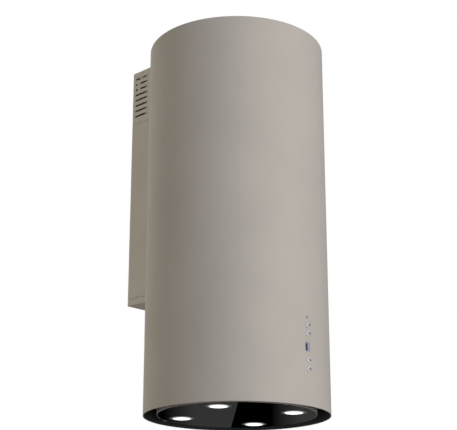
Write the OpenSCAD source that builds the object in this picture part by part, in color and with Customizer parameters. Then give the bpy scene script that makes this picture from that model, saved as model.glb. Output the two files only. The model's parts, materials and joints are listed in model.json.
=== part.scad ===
// Wall-mounted tube range hood with a drop-down glass light panel.
// The origin is on the wall plane, at the centre of the four wall bolts.
// +Y points into the wall, -Y is the front and +Z is up.

/* [Tube] */
// Outside diameter of the tube
tube_d = 394; // [388:1:400]
// Height of the tube
tube_h = 832; // [826:1:860]
// Thickness of the painted steel sheet
sheet_t = 1.2; // [1:0.1:1.2]
// Clear gap between the tube and the wall
wall_gap = 45; // [44:1:50]

/* [Wall box] */
// Width of the housing that joins the tube to the wall
box_w = 200; // [196:2:210]
// Height of the housing above the rim of the tube, at its lower end
box_foot_z = 262; // [255:1:270]
// Height of the whole housing
box_h = 568; // [562:1:568]
// Height of the vented upper section
vent_section_h = 130; // [128:1:134]
// Number of vent slots on each side
slot_count = 8; // [4:1:8]
// Distance between the slots
slot_pitch = 13.6; // [12:0.2:13.6]
// Height of one slot
slot_h = 4.6; // [4:0.2:6]
// Sideways spacing of the wall bolts
wall_bolt_dx = 120; // [100:5:140]
// Upright spacing of the wall bolts
wall_bolt_dz = 400; // [360:10:440]
// Radius of a wall bolt hole
wall_bolt_r = 4.25; // [3:0.25:5]

/* [Light panel] */
// Diameter of the drum pan
pan_d = 336; // [332:1:338]
// Height of the glass face above the rim
glass_z = 2.7; // [2.5:0.1:4]
// Thickness of the glass
glass_t = 4; // [3:0.5:4]
// Distance of each lamp from the axis of the tube
lamp_ring_r = 123; // [110:1:130]
// Turn of the square of lamps, away from the front
lamp_clock = 26; // [20:1:40]
// Radius of the lit lens
lens_r = 18.2; // [16:0.1:18.4]

/* [Controls] */
// Heights of the four buttons above the rim
button_z = [164.3, 147.2, 92.6, 74.7];
// Radius of a button
button_r = 4.9; // [4.5:0.1:5.4]
// How far a button stands out
button_proud = 6; // [5:0.1:7]
// Travel of a button
button_travel = 1.2; // [0.8:0.1:1.2]
// Height of the display above the rim
display_z = 119.5; // [118:0.5:121]
// Height of the infrared window above the rim
ir_z = 180.6; // [178:0.2:184]

/* [Duct] */
// Outside radius of the duct collar
collar_r = 74.5; // [74:0.1:74.5]
// Height of the duct collar
collar_h = 60; // [58:1:60]

/* [Blower] */
// Radius of the impeller
impeller_r = 76; // [70:1:76]
// Number of impeller blades
blade_count = 32; // [24:1:40]

/* [Hidden] */
$fn = 96;
cut = 1;
gap = 0.3;
close_gap = 0.2;
hair_gap = 0.1;
through = 12;
tube_r = tube_d / 2;
tube_ri = tube_r - sheet_t;
axis_depth = tube_r + wall_gap;
rim_z = -(box_foot_z + box_h / 2);
box_top_z = box_foot_z + box_h;
plate_t = 1.5;

// Colours
paint = [0.66, 0.63, 0.59];
black = [0.06, 0.06, 0.07];
zinc = [0.70, 0.71, 0.72];
alloy = [0.80, 0.81, 0.82];
chrome = [0.88, 0.88, 0.90];
plastic = [0.15, 0.15, 0.16];
board_green = [0.1, 0.35, 0.2];
lens_white = [1, 1, 0.97];

// Tube and liner
liner_foot = 0.6;
liner_top = 65.5;
liner_r = tube_ri - gap;
transfer_w = 140;
transfer_h = 88;
transfer_z = 716;
cover_z = tube_h - 2 - sheet_t;
cover_flange = 15;
duct_hole_r = 80;
top_screw_y = 9;
top_screw_r = 1.9;
top_screw_len = 9.5;
top_screw_grip = 8;
top_head_r = 3.5;
top_head_h = 2;

// Wall box
back_t = 2;
back_inset = 3;
cap_h = 14;
seam = 0.8;
wall_clear = 0.5;
side_depth = axis_depth - sqrt(tube_r * tube_r - box_w * box_w / 4);
web_y = -43.6;
side_flange = 12;
vent_z = box_top_z - sheet_t - vent_section_h;
slot_start = 9;
slot_len = 40;
slot_top_z = vent_z + 114;
land_start = 16;
land_len = 8;
side_screw_r = 1.5;
side_screw_y = -28;
side_screw_z = [vent_z + 124.5, vent_z + 3.5, 402, box_foot_z + cap_h + 4];
side_head_r = 2.6;
side_head_h = 1.2;
tab_w = 16;
tab_t = 1.2;
tab_grip = 14;
tab_reach = 12;
cap_tab_h = 16;
plate_tab_z = 392;
plate_tab_h = 20;
tube_bolt_r = 2.5;
tube_bolt_len = 16;
tube_bolt_head_r = 4.5;
tube_bolt_head_h = 3;
tube_nut_r = 4.6;
tube_nut_h = 4;
tube_bolt_z = [300, 420, 540, 660];
grommet_z = 776;
grommet_bore_r = 5;
grommet_r = 12;
grommet_lip_r = 15;
grommet_lip_h = 2;
grommet_neck_t = 3;
grommet_neck_h = 4;

// Chassis
deck_z = 66;
deck_flange = 14;
deck_notch = 21;
rail_x = 176;
rail_w = 12;
rail_d = 30;
chamber_z = 705;
shelf_z = 434;
shelf_w = 180;
shelf_d = 124;
foot_r = 8;
foot_neck_r = 4.8;
foot_neck_drop = 3;

// Blower, in a frame whose origin is the shaft
shaft_y = -46.6;
shaft_z = 560;
shaft_r = 4;
shaft_clear = 0.05;
scroll_half = 60;
scroll_wall = 2;
scroll_start_r = 84;
scroll_end_r = 122;
scroll_start_a = 110;
scroll_step = 10;
neck_top = 150;
neck_back = -28.7;
inlet_r = 62;
motor_r = 38;
foot_dy = 45;
foot_dx = 42;
foot_bottom = -112.5;
foot_root = -80;
shaft_front = -14;
shaft_rear = 54;
motor_front = 8;
motor_rear = 57;
adapter_z = 711;
adapter_h = 34;
adapter_w = 160;
collar_z = adapter_z + adapter_h;
collar_t = 1.2;
flap_z = 30;
flap_pivot_y = 3.5;
flap_rod_r = 1.5;
flap_r = 72.2;

// Grease filter
filter_w = 252;
filter_z = 60;
filter_h = 9;
filter_bar = 11;
latch_w = 36;
latch_t = 1.2;
latch_z = filter_z - 0.2 - latch_t;

// Light panel
pan_r = pan_d / 2;
pan_top = 34;
pan_lip = 10;
pan_floor = glass_z + glass_t + gap;
hinge_y = 179;
hinge_z = 11;
hinge_x = 40;
hinge_pin_r = 2.45;
hinge_bore_r = 2.5;
lug_half = 3.6;
cheek_in = 4.2;
cheek_out = 7.2;
cheek_r = 6;
pin_end = 0.6;
lug_front = 163.4;
lug_r = 5;
lamp_hole_r = 19.4;
lamp_body_r = 19.2;
bezel_r = 20.3;
bezel_t = 0.7;
lens_bulge = 2;
catch_x = 60;
catch_y = -151.5;
catch_w = 16;
catch_d = 9;

// Electronics
ebox_w = 140;
ebox_front = 120;
ebox_rear = 176;
ebox_z = 92;
ebox_h = 140;
ebox_wall = 2;
power_y = 166;
board_t = 1.6;

// Controls
button_hole_r = button_r + gap;
board_y = -187;
switch_h = 3.8;
stem_end = tube_r + board_y - switch_h - button_travel - close_gap;
display_w = 13;
display_h = 18;
display_wall = 0.8;
screen_depth = 4.6;
housing_w = 40;
housing_z = 62;
housing_top = 196;
ir_r = 2.1;

// Frames: heights count from the rim, on the tube's axis or on the wall plane
module at_rim() { translate([0, -axis_depth, rim_z]) children(); }
module at_wall() { translate([0, 0, rim_z]) children(); }
module at_shaft() { at_rim() translate([0, shaft_y, shaft_z]) children(); }
module at_lamp(i) { at_rim() rotate([0, 0, lamp_clock + 90 * i]) translate([0, -lamp_ring_r, 0]) children(); }
module both_sides() { children(); mirror([1, 0, 0]) children(); }

// Extrudes an outline given as (y, z) along +X
module along_x(length) { rotate([90, 0, 90]) linear_extrude(length) children(); }
// Turns a shape made along +Z to stand along -Y
module frontward() { rotate([90, 0, 0]) children(); }
module rod_x(r, x0, x1) { translate([x0, 0, 0]) rotate([0, 90, 0]) cylinder(r = r, h = x1 - x0); }
module ring(r_out, r_in, h) { rotate_extrude() translate([r_in, 0]) square([r_out - r_in, h]); }
module block(x0, x1, y0, y1, z0, z1) { translate([x0, y0, z0]) cube([x1 - x0, y1 - y0, z1 - z0]); }

// ---- tube ----
module front_hole(r, z) { translate([0, -tube_r + through / 2, z]) frontward() cylinder(r = r, h = through); }

module outer_tube() {
    window_x = display_w / 2 + close_gap;
    window_z = display_h / 2 + close_gap;
    color(paint) at_rim() difference() {
        rotate_extrude($fn = 180) translate([tube_ri, 0]) square([sheet_t, tube_h]);
        for (z = button_z) front_hole(button_hole_r, z);
        front_hole(ir_r + close_gap, ir_z);
        block(-window_x, window_x, -tube_r - through / 2, -tube_r + through / 2,
              display_z - window_z, display_z + window_z);
        block(-transfer_w / 2, transfer_w / 2, tube_r - 30, tube_r + through / 2,
              transfer_z, transfer_z + transfer_h);
        for (z = tube_bolt_z) translate([0, tube_r + through / 2, z]) frontward()
            cylinder(r = tube_bolt_r + close_gap, h = through);
    }
}

module inner_liner() {
    color(black) at_rim() translate([0, 0, liner_foot])
        ring(liner_r, liner_r - sheet_t, liner_top - liner_foot);
}

module top_cover() {
    color(paint) at_rim() difference() {
        union() {
            translate([0, 0, cover_z]) cylinder(r = liner_r, h = sheet_t);
            translate([0, 0, cover_z - cover_flange]) ring(liner_r, liner_r - sheet_t, cover_flange);
        }
        translate([0, 0, cover_z - cut]) cylinder(r = duct_hole_r, h = sheet_t + 2 * cut);
        top_screw_holes();
    }
}

module top_screw_places() {
    both_sides() for (y = [-top_screw_y, top_screw_y]) translate([rail_x + rail_w / 2, y, 0]) children();
}

module top_screw_holes() {
    top_screw_places() translate([0, 0, cover_z - through / 2])
        cylinder(r = top_screw_r + close_gap, h = through);
}

module top_screws() {
    color(zinc) at_rim() top_screw_places() {
        translate([0, 0, cover_z + sheet_t]) cylinder(r = top_head_r, h = top_head_h);
        translate([0, 0, cover_z - top_screw_grip]) cylinder(r = top_screw_r, h = top_screw_len);
    }
}

// ---- wall box ----
// Plan of the box between the wall and the tube, set in by a margin
module box_plan(margin) {
    half = box_w / 2 - margin;
    difference() {
        translate([-half, -side_depth]) square([2 * half, side_depth - wall_clear - margin]);
        translate([0, -axis_depth]) circle(r = tube_r + gap + margin, $fn = 180);
    }
}

// One side of the box, with its front edge just clear of the tube and a flange along its rear edge
module side_sheet(z0, z1) {
    difference() {
        block(box_w / 2 - sheet_t, box_w / 2, -side_depth - cut, -wall_clear, z0, z1);
        translate([0, -axis_depth, z0 - cut])
            cylinder(r = tube_r + hair_gap, h = z1 - z0 + 2 * cut, $fn = 180);
    }
    block(box_w / 2 - side_flange, box_w / 2, -back_t - close_gap - sheet_t, -back_t - close_gap, z0, z1);
}

module side_screw_holes() {
    both_sides() for (z = side_screw_z) translate([box_w / 2, side_screw_y, z])
        rod_x(side_screw_r + hair_gap, -through / 2, through / 2);
}

module tube_bolt_holes() {
    for (z = tube_bolt_z) translate([0, web_y + through / 2, z]) frontward()
        cylinder(r = tube_bolt_r + close_gap, h = through);
}

// A screw tab behind one side, over a range of depth inside the sheet and of height
module tab(inner, outer, z0, z1) {
    block(box_w / 2 - sheet_t - outer, box_w / 2 - sheet_t - inner,
          side_screw_y - tab_w / 2, side_screw_y + tab_w / 2, z0, z1);
}

module back_plate() {
    half_w = box_w / 2 - sheet_t - tab_t - 2 * close_gap;
    color(zinc) at_wall() difference() {
        union() {
            block(-half_w, half_w, -back_t, 0, box_foot_z + back_inset, box_top_z - back_inset);
            both_sides() block(half_w - hair_gap, half_w + tab_t, side_screw_y - tab_w / 2, 0,
                               plate_tab_z, plate_tab_z + plate_tab_h);
        }
        translate([0, 0, -rim_z]) for (x = [-1, 1], z = [-1, 1])
            translate([x * wall_bolt_dx / 2, cut, z * wall_bolt_dz / 2]) frontward()
                cylinder(r = wall_bolt_r, h = back_t + 2 * cut);
        translate([0, cut, grommet_z]) frontward() cylinder(r = grommet_r, h = back_t + 2 * cut);
        side_screw_holes();
    }
}

module box_lower() {
    z0 = box_foot_z + cap_h + seam;
    z1 = vent_z - seam;
    color(paint) at_wall() difference() {
        union() {
            both_sides() side_sheet(z0, z1);
            both_sides() tab(hair_gap, tab_t + hair_gap, z1 - tab_grip, z1 + tab_reach);
            both_sides() tab(-hair_gap, close_gap, z1 - tab_grip, z1);
            block(-box_w / 2 + sheet_t, box_w / 2 - sheet_t, web_y, web_y + sheet_t, z0, z1);
        }
        both_sides() block(box_w / 2 - sheet_t - tab_t - cut, box_w / 2 - sheet_t, -back_t - 2, -back_t,
                           plate_tab_z - cut, plate_tab_z + plate_tab_h + cut);
        side_screw_holes();
        tube_bolt_holes();
    }
}

// A slot with round ends through the side, from depth y0 to y1
module slot(y0, y1, z) {
    end_r = slot_h / 2;
    translate([box_w / 2, 0, z]) {
        block(-sheet_t - cut, cut, y1 + end_r, y0 - end_r, -end_r, end_r);
        for (y = [y0 - end_r, y1 + end_r]) translate([0, y, 0])
            rod_x(end_r, -sheet_t - cut, cut, $fn = 32);
    }
}

module vent_slots() {
    for (i = [0 : slot_count - 1]) {
        z = slot_top_z - i * slot_pitch;
        if (i == 1 || i == 2) {
            slot(-slot_start, -land_start, z);
            slot(-land_start - land_len, -slot_start - slot_len, z);
        } else {
            slot(-slot_start, -slot_start - slot_len, z);
        }
    }
}

module box_vent() {
    z1 = box_top_z - sheet_t - hair_gap;
    color(paint) at_wall() difference() {
        union() {
            both_sides() side_sheet(vent_z, z1);
            block(-box_w / 2 + sheet_t, box_w / 2 - sheet_t, web_y, web_y + sheet_t, vent_z, z1);
        }
        both_sides() vent_slots();
        block(-transfer_w / 2, transfer_w / 2, web_y - cut, web_y + sheet_t + cut,
              transfer_z, transfer_z + transfer_h);
        side_screw_holes();
    }
}

module box_bottom_cap() {
    color(paint) at_wall() difference() {
        union() {
            translate([0, 0, box_foot_z]) linear_extrude(sheet_t) box_plan(0);
            translate([0, 0, box_foot_z]) linear_extrude(cap_h) difference() {
                box_plan(0);
                box_plan(sheet_t);
                translate([-box_w / 2 + sheet_t, -2 * back_t]) square([box_w - 2 * sheet_t, 2 * back_t]);
            }
            both_sides() tab(gap, tab_t + gap, box_foot_z, box_foot_z + cap_h + tab_grip);
            both_sides() tab(gap - sheet_t, tab_t + gap, box_foot_z, box_foot_z + cap_h - 1);
        }
        side_screw_holes();
    }
}

module box_top_cap() {
    color(paint) at_wall() difference() {
        union() {
            translate([0, 0, box_top_z - sheet_t]) linear_extrude(sheet_t) box_plan(0);
            both_sides() tab(gap, tab_t + gap, box_top_z - cap_tab_h, box_top_z);
        }
        side_screw_holes();
    }
}

module side_screws() {
    color(zinc) at_wall() both_sides() for (z = side_screw_z) translate([box_w / 2, side_screw_y, z]) {
        rod_x(side_screw_r, -5, side_head_h / 2, $fn = 32);
        rotate([0, 90, 0]) rotate_extrude($fn = 48)
            polygon([[0, 0], [side_head_r, 0], [side_head_r, 0.5], [1.9, side_head_h], [0, side_head_h]]);
    }
}

module tube_bolts() {
    head_y = web_y + sheet_t + tube_bolt_head_h + close_gap;
    nut_at = wall_gap + head_y + sheet_t + gap;
    color(zinc) at_wall() for (z = tube_bolt_z) translate([0, head_y, z]) frontward() {
        cylinder(r = tube_bolt_head_r, h = tube_bolt_head_h, $fn = 48);
        cylinder(r = tube_bolt_r, h = tube_bolt_len);
        translate([0, 0, nut_at]) cylinder(r = tube_nut_r, h = tube_nut_h, $fn = 6);
    }
}

module cable_grommet() {
    lip_z = back_t - close_gap;
    color(black) at_wall() translate([0, -close_gap, grommet_z]) frontward() rotate_extrude() union() {
        translate([grommet_bore_r, 0]) square([grommet_r - grommet_bore_r, lip_z]);
        translate([grommet_bore_r, lip_z]) square([grommet_lip_r - grommet_bore_r, grommet_lip_h]);
        translate([grommet_bore_r, lip_z + grommet_lip_h]) square([grommet_neck_t, grommet_neck_h]);
    }
}

// ---- chassis ----
module deck() {
    half = filter_w / 2 + 1;
    color(zinc) at_rim() difference() {
        union() {
            translate([0, 0, deck_z]) cylinder(r = liner_r, h = plate_t);
            translate([0, 0, deck_z]) ring(liner_r, liner_r - plate_t, deck_flange);
        }
        block(-half, half, -half, half, deck_z - cut, deck_z + plate_t + cut);
        block(-housing_w / 2 - 1, housing_w / 2 + 1, -tube_r, -tube_r + deck_notch,
              deck_z - cut, deck_z + deck_flange + cut);
    }
}

module rail_right() {
    color(zinc) at_rim() difference() {
        block(rail_x, rail_x + rail_w, -rail_d / 2, rail_d / 2, deck_z + plate_t, cover_z);
        block(rail_x - cut, rail_x + rail_w - plate_t, -rail_d / 2 + plate_t, rail_d / 2 - plate_t,
              deck_z + 2 * plate_t, cover_z - plate_t);
        top_screw_holes();
    }
}

module rail_left() { mirror([1, 0, 0]) rail_right(); }

module chamber_plate() {
    neck_y = (neck_back + scroll_end_r) / 2 + shaft_y;
    half_y = (scroll_end_r - neck_back) / 2 + 1;
    color(zinc) at_rim() difference() {
        translate([0, 0, chamber_z]) cylinder(r = liner_r, h = plate_t);
        block(-scroll_half - 1, scroll_half + 1, neck_y - half_y, neck_y + half_y,
              chamber_z - cut, chamber_z + plate_t + cut);
        both_sides() block(rail_x - gap, rail_x + rail_w + gap, -rail_d / 2 - gap, rail_d / 2 + gap,
                           chamber_z - cut, chamber_z + plate_t + cut);
    }
}

module foot_places() {
    for (x = [-foot_dx, foot_dx], y = [-foot_dy, foot_dy]) translate([x, shaft_y + y, 0]) children();
}

module blower_shelf() {
    color(zinc) at_rim() difference() {
        translate([0, 0, shelf_z]) linear_extrude(plate_t) union() {
            translate([-shelf_w / 2, shaft_y - shelf_d / 2]) square([shelf_w, shelf_d]);
            translate([-rail_x, -rail_d / 2]) square([2 * rail_x, rail_d]);
        }
        foot_places() translate([0, 0, shelf_z - cut])
            cylinder(r = foot_neck_r + close_gap, h = plate_t + 2 * cut);
    }
}

module rubber_feet() {
    color(black) at_rim() foot_places() {
        translate([0, 0, shelf_z + plate_t])
            cylinder(r = foot_r, h = shaft_z + foot_bottom - shelf_z - plate_t);
        translate([0, 0, shelf_z - foot_neck_drop]) cylinder(r = foot_neck_r, h = 2 * foot_neck_drop);
    }
}

// ---- blower ----
function scroll_turn(a) = (a - scroll_start_a) / (360 - scroll_start_a);
function scroll_r(a) = scroll_start_r + (scroll_end_r - scroll_start_r) * scroll_turn(a);

// Spiral outline with its outlet neck, set in by a margin
module scroll_outline(margin, top) {
    polygon(concat(
        [for (a = [scroll_start_a : scroll_step : 360])
            let (r = scroll_r(a) - margin) [r * cos(a), r * sin(a)]],
        [[scroll_end_r - margin, top], [neck_back + margin, top]]));
}

module scroll_half_shell() {
    difference() {
        union() {
            along_x(scroll_half) scroll_outline(0, neck_top);
            for (y = [-foot_dy, foot_dy])
                block(foot_dx - foot_r, foot_dx + foot_r, y - foot_r, y + foot_r, foot_bottom, foot_root);
        }
        translate([-cut, 0, 0]) along_x(scroll_half - scroll_wall + cut)
            scroll_outline(scroll_wall, neck_top + cut);
        rod_x(inlet_r, 0, scroll_half + cut);
    }
}

module scroll_right() { color(plastic) at_shaft() scroll_half_shell(); }
module scroll_left() { color(plastic) at_shaft() mirror([1, 0, 0]) scroll_half_shell(); }

module impeller() {
    half = 48;
    disc_t = 2;
    hub_r = 10;
    hub_len = 11;
    ring_w = 5;
    blade_root = 12;
    blade_w = 10.5;
    blade_t = 1.2;
    blade_lean = 30;
    color(black) at_shaft() difference() {
        union() {
            rod_x(impeller_r - 2, -disc_t / 2, disc_t / 2);
            rod_x(hub_r, -disc_t / 2 - hub_len, disc_t / 2);
            for (x = [-half, half - disc_t]) translate([x, 0, 0]) rotate([0, 90, 0])
                ring(impeller_r, impeller_r - ring_w, disc_t);
            for (i = [0 : blade_count - 1]) rotate([i * 360 / blade_count, 0, 0])
                translate([0, impeller_r - blade_root, 0]) rotate([blade_lean, 0, 0])
                    block(-half + 0.5, half - 0.5, 0, blade_w, -blade_t / 2, blade_t / 2);
        }
        rod_x(shaft_r + shaft_clear, shaft_front, disc_t / 2 + cut);
    }
}

module rotor_shaft() { color(zinc) at_shaft() rod_x(shaft_r, shaft_front, shaft_rear); }

module motor() {
    boss_r = 14;
    boss_h = 4;
    color(zinc) at_shaft() difference() {
        union() {
            rod_x(motor_r, motor_front, motor_rear);
            rod_x(boss_r, motor_front - boss_h, motor_front);
        }
        rod_x(shaft_r + shaft_clear, motor_front - boss_h - cut, shaft_rear + 2 * cut);
    }
}

// Three arms across the inlet that carry the motor, with a ring round the inlet
module motor_spider() {
    outer_x = scroll_half + 2;
    arm_w = 12;
    plate_r = 20;
    bolt_ring_r = 30;
    bolt_r = 2;
    color(zinc) at_shaft() difference() {
        union() {
            translate([scroll_half, 0, 0]) rotate([0, 90, 0]) ring(inlet_r + 6, inlet_r - 2, 2);
            for (a = [90, 210, 330]) rotate([a, 0, 0])
                block(motor_rear, outer_x, 0, inlet_r - 1, -arm_w / 2, arm_w / 2);
            rod_x(plate_r, motor_rear, outer_x);
        }
        for (a = [90, 210, 330]) rotate([a, 0, 0]) translate([0, bolt_ring_r, 0])
            rod_x(bolt_r, motor_rear - cut, outer_x + cut);
    }
}

// A round cassette with rings of holes through it
module charcoal_filter() {
    inner_x = scroll_half + 3;
    outer_x = scroll_half + 31;
    hole_pitch = 12;
    hole_r = 4;
    color(plastic) at_shaft() difference() {
        rod_x(inlet_r + 10, inner_x, outer_x);
        for (i = [1 : 5], k = [0 : 6 * i - 1]) rotate([k * 60 / i, 0, 0])
            translate([0, hole_pitch * i, 0]) rod_x(hole_r, inner_x - cut, outer_x + cut, $fn = 16);
    }
}

module charcoal_right() { charcoal_filter(); }
module charcoal_left() { mirror([1, 0, 0]) charcoal_filter(); }

module outlet_adapter() {
    half = adapter_w / 2;
    mouth = 73;
    color(plastic) at_rim() translate([0, 0, adapter_z]) difference() {
        block(-half, half, -half, half, 0, adapter_h);
        block(-half + scroll_wall, half - scroll_wall, -half + scroll_wall, half - scroll_wall,
              scroll_wall, adapter_h - scroll_wall);
        block(-scroll_half + scroll_wall, scroll_half - scroll_wall, -mouth, mouth, -cut, scroll_wall + cut);
        translate([0, 0, adapter_h - scroll_wall - cut])
            cylinder(r = collar_r - collar_t, h = scroll_wall + 2 * cut);
    }
}

module duct_collar() {
    collar_ri = collar_r - collar_t;
    flange_w = 10;
    flange_t = 1.5;
    seat_w = 2.5;
    seat_h = 2;
    seat_drop = 3.2;
    color(plastic) at_rim() translate([0, 0, collar_z]) difference() {
        rotate_extrude() union() {
            translate([collar_ri, 0]) square([collar_t, collar_h]);
            translate([collar_ri, 0]) square([flange_w, flange_t]);
            translate([collar_ri - seat_w, flap_z - seat_drop]) square([seat_w + close_gap, seat_h]);
        }
        for (y = [-flap_pivot_y, flap_pivot_y]) translate([0, y, flap_z])
            rod_x(flap_rod_r + shaft_clear, -collar_r - cut, collar_r + cut);
    }
}

module flap() {
    flap_t = 1;
    rod_half = collar_r - 0.25;
    color(zinc) at_rim() translate([0, 0, collar_z + flap_z]) {
        translate([0, flap_pivot_y, 0]) rod_x(flap_rod_r, -rod_half, rod_half);
        difference() {
            translate([0, 0, -flap_t / 2]) cylinder(r = flap_r, h = flap_t);
            block(-collar_r, collar_r, -collar_r, flap_pivot_y, -cut, cut);
        }
    }
}

module flap_rear() { flap(); }
module flap_front() { translate([0, -axis_depth, 0]) mirror([0, 1, 0]) translate([0, axis_depth, 0]) flap(); }

// ---- grease filter ----
module filter_frame() {
    half = filter_w / 2;
    guide_x = latch_w / 2 + 0.4;
    guide_t = 1.6;
    guide_z = latch_z - guide_t;
    hook_x = 60;
    hook_w = 20;
    hook_t = 1.2;
    top_z = filter_z + filter_h;
    color(alloy) at_rim() union() {
        difference() {
            block(-half, half, -half, half, filter_z, top_z);
            block(-half + filter_bar, half - filter_bar, -half + filter_bar, half - filter_bar,
                  filter_z - cut, top_z + cut);
        }
        both_sides() {
            block(hook_x, hook_x + hook_w, half - 1, half + 8, top_z - hook_t, top_z);
            block(guide_x, guide_x + guide_t, -half, -half + filter_bar, guide_z, filter_z + 0.5);
            block(guide_x - 2, guide_x + guide_t, -half, -half + filter_bar, guide_z, latch_z - gap);
        }
    }
}

module filter_mesh() {
    half = filter_w / 2 - filter_bar - gap;
    inner = half - 6;
    rows = 16;
    pitch = 2 * half / rows;
    color(alloy) at_rim() difference() {
        block(-half, half, -half, half, filter_z + 1.5, filter_z + 6.5);
        for (i = [0 : rows - 2]) {
            y = -half + (i + 1) * pitch;
            block(-inner, inner, y - 2, y + 2, filter_z, filter_z + 4);
            block(-inner, inner, y + 1, y + 5, filter_z + 3.5, filter_z + 8);
        }
    }
}

module filter_latch() {
    front = -filter_w / 2;
    bolt_reach = 10;
    back_reach = 12;
    thumb_w = 24;
    thumb_t = 3.5;
    thumb_h = 7;
    color(alloy) at_rim() union() {
        block(-latch_w / 2, latch_w / 2, front - bolt_reach, front + back_reach, latch_z, latch_z + latch_t);
        block(-thumb_w / 2, thumb_w / 2, front + back_reach - thumb_t, front + back_reach,
              latch_z - thumb_h, latch_z);
    }
}

module latch_keeper() {
    front = -filter_w / 2;
    half = 14;
    step_z = latch_z - gap - plate_t;
    color(zinc) at_rim() union() {
        block(-half, half, front - 16, front - 2.5, step_z, latch_z - gap);
        block(-half, half, front - 16, front - 14, step_z, deck_z);
    }
}

// ---- electronics ----
module electronics_box() {
    half = ebox_w / 2;
    color(plastic) at_rim() difference() {
        block(-half, half, ebox_front, ebox_rear, ebox_z, ebox_z + ebox_h);
        block(-half + ebox_wall, half - ebox_wall, ebox_front - ebox_wall, ebox_rear - ebox_wall,
              ebox_z + ebox_wall, ebox_z + ebox_h - ebox_wall);
    }
}

module electronics_lid() {
    color(plastic) at_rim() block(-ebox_w / 2, ebox_w / 2, ebox_front - close_gap - ebox_wall,
                                  ebox_front - close_gap, ebox_z, ebox_z + ebox_h);
}

// The board with its transformer, capacitor and row of terminals
module power_board() {
    half = ebox_w / 2 - 8;
    terminal_w = 9;
    terminal_pitch = 11;
    color(board_green) at_rim() union() {
        block(-half, half, power_y, power_y + board_t, ebox_z + 6, ebox_z + ebox_h - 6);
        block(-56, -20, power_y - 26, power_y, 180, 214);
        translate([20, power_y, 205]) frontward() cylinder(r = 14, h = 30);
        for (i = [0 : 5]) translate([-10 + i * terminal_pitch, power_y, 102])
            block(0, terminal_w, -12, 0, 0, 12);
    }
}

module led_driver() { color(black) at_rim() block(-52, 24, power_y - 32, power_y - 4, 122, 168); }

// ---- controls ----
module control_housing() {
    wall = 1.5;
    face_y = -178;
    screw_x = 13;
    height = housing_top - housing_z;
    color(plastic) at_rim() union() {
        difference() {
            intersection() {
                block(-housing_w / 2, housing_w / 2, -tube_r, face_y, housing_z, housing_top);
                translate([0, 0, housing_z - cut])
                    cylinder(r = liner_r - sheet_t - hair_gap, h = height + 2 * cut, $fn = 180);
            }
            block(-housing_w / 2 + wall, housing_w / 2 - wall, -tube_r + cut, face_y - wall,
                  housing_z + wall, housing_top - wall);
        }
        both_sides() for (z = [housing_z + 8, housing_top - 8])
            translate([screw_x, face_y - wall + hair_gap, z]) frontward() cylinder(r = 2, h = 6, $fn = 32);
    }
}

module control_board() {
    half = housing_w / 2 - 4;
    switch_half = 3;
    color(board_green) at_rim() union() {
        block(-half, half, board_y, board_y + board_t, housing_z + 4, housing_top - 4);
        for (z = button_z) {
            block(-switch_half, switch_half, board_y - 3, board_y + 0.5, z - switch_half, z + switch_half);
            translate([0, board_y, z]) frontward() cylinder(r = 1.6, h = switch_h, $fn = 32);
        }
    }
}

module display_bezel() {
    w = display_w / 2;
    h = display_h / 2;
    color(chrome) at_rim() translate([0, 0, display_z]) difference() {
        block(-w, w, -tube_r + hair_gap, board_y - 3.2, -h, h);
        block(-w + display_wall, w - display_wall, -tube_r - cut, board_y,
              -h + display_wall, h - display_wall);
    }
}

module display_screen() {
    w = display_w / 2 - display_wall - hair_gap;
    h = display_h / 2 - display_wall - hair_gap;
    color(black) at_rim() translate([0, 0, display_z]) block(-w, w, -tube_r + screen_depth, board_y, -h, h);
}

module ir_window() {
    color(black) at_rim() translate([0, board_y, ir_z]) frontward()
        cylinder(r = ir_r, h = tube_r + board_y - 2 * close_gap);
}

// A button made along +Z from the tube's surface, with a chamfered edge and a shallow dish in its face
module button_shape() {
    chamfer = 0.9;
    dish_r = 15;
    dish_depth = 0.45;
    flange_z = -3.4;
    shoulder_z = button_proud - chamfer;
    difference() {
        union() {
            translate([0, 0, flange_z]) cylinder(r = button_r, h = shoulder_z - flange_z);
            translate([0, 0, shoulder_z]) cylinder(r1 = button_r, r2 = button_r - chamfer, h = chamfer);
            translate([0, 0, flange_z]) cylinder(r = button_r + 1.2, h = 1.2);
            translate([0, 0, -stem_end]) cylinder(r = 1.8, h = 2, $fn = 32);
        }
        translate([0, 0, button_proud + dish_r - dish_depth]) sphere(r = dish_r);
    }
}

module button(i) {
    color(chrome) at_rim() translate([0, -tube_r, button_z[i]]) frontward() button_shape();
}

// ---- light panel ----
module hinge_brackets() {
    cheek_t = cheek_out - cheek_in;
    color(black) at_rim() both_sides() translate([hinge_x, hinge_y, 0]) difference() {
        union() {
            for (x = [-cheek_out, cheek_in]) {
                block(x, x + cheek_t, -cheek_r, cheek_r, hinge_z, deck_z);
                translate([0, 0, hinge_z]) rod_x(cheek_r, x, x + cheek_t);
            }
            block(-cheek_out, cheek_out, -cheek_r, cheek_r, deck_z - cheek_t, deck_z);
        }
        translate([0, 0, hinge_z]) rod_x(hinge_bore_r, -cheek_out - cut, cheek_out + cut);
    }
}

module hinge_pins() {
    color(zinc) at_rim() both_sides() translate([hinge_x, hinge_y, hinge_z])
        rod_x(hinge_pin_r, -cheek_out - pin_end, cheek_out + pin_end);
}

module catch_magnets() {
    color(black) at_rim() both_sides()
        block(catch_x - catch_w / 2, catch_x + catch_w / 2, catch_y - catch_d / 2, catch_y + catch_d / 2,
              pan_top + 2 * close_gap, deck_z);
}

module lamp_holes() {
    for (i = [0 : 3]) rotate([0, 0, lamp_clock + 90 * i]) translate([0, -lamp_ring_r, 0])
        cylinder(r = lamp_hole_r, h = 30);
}

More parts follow.
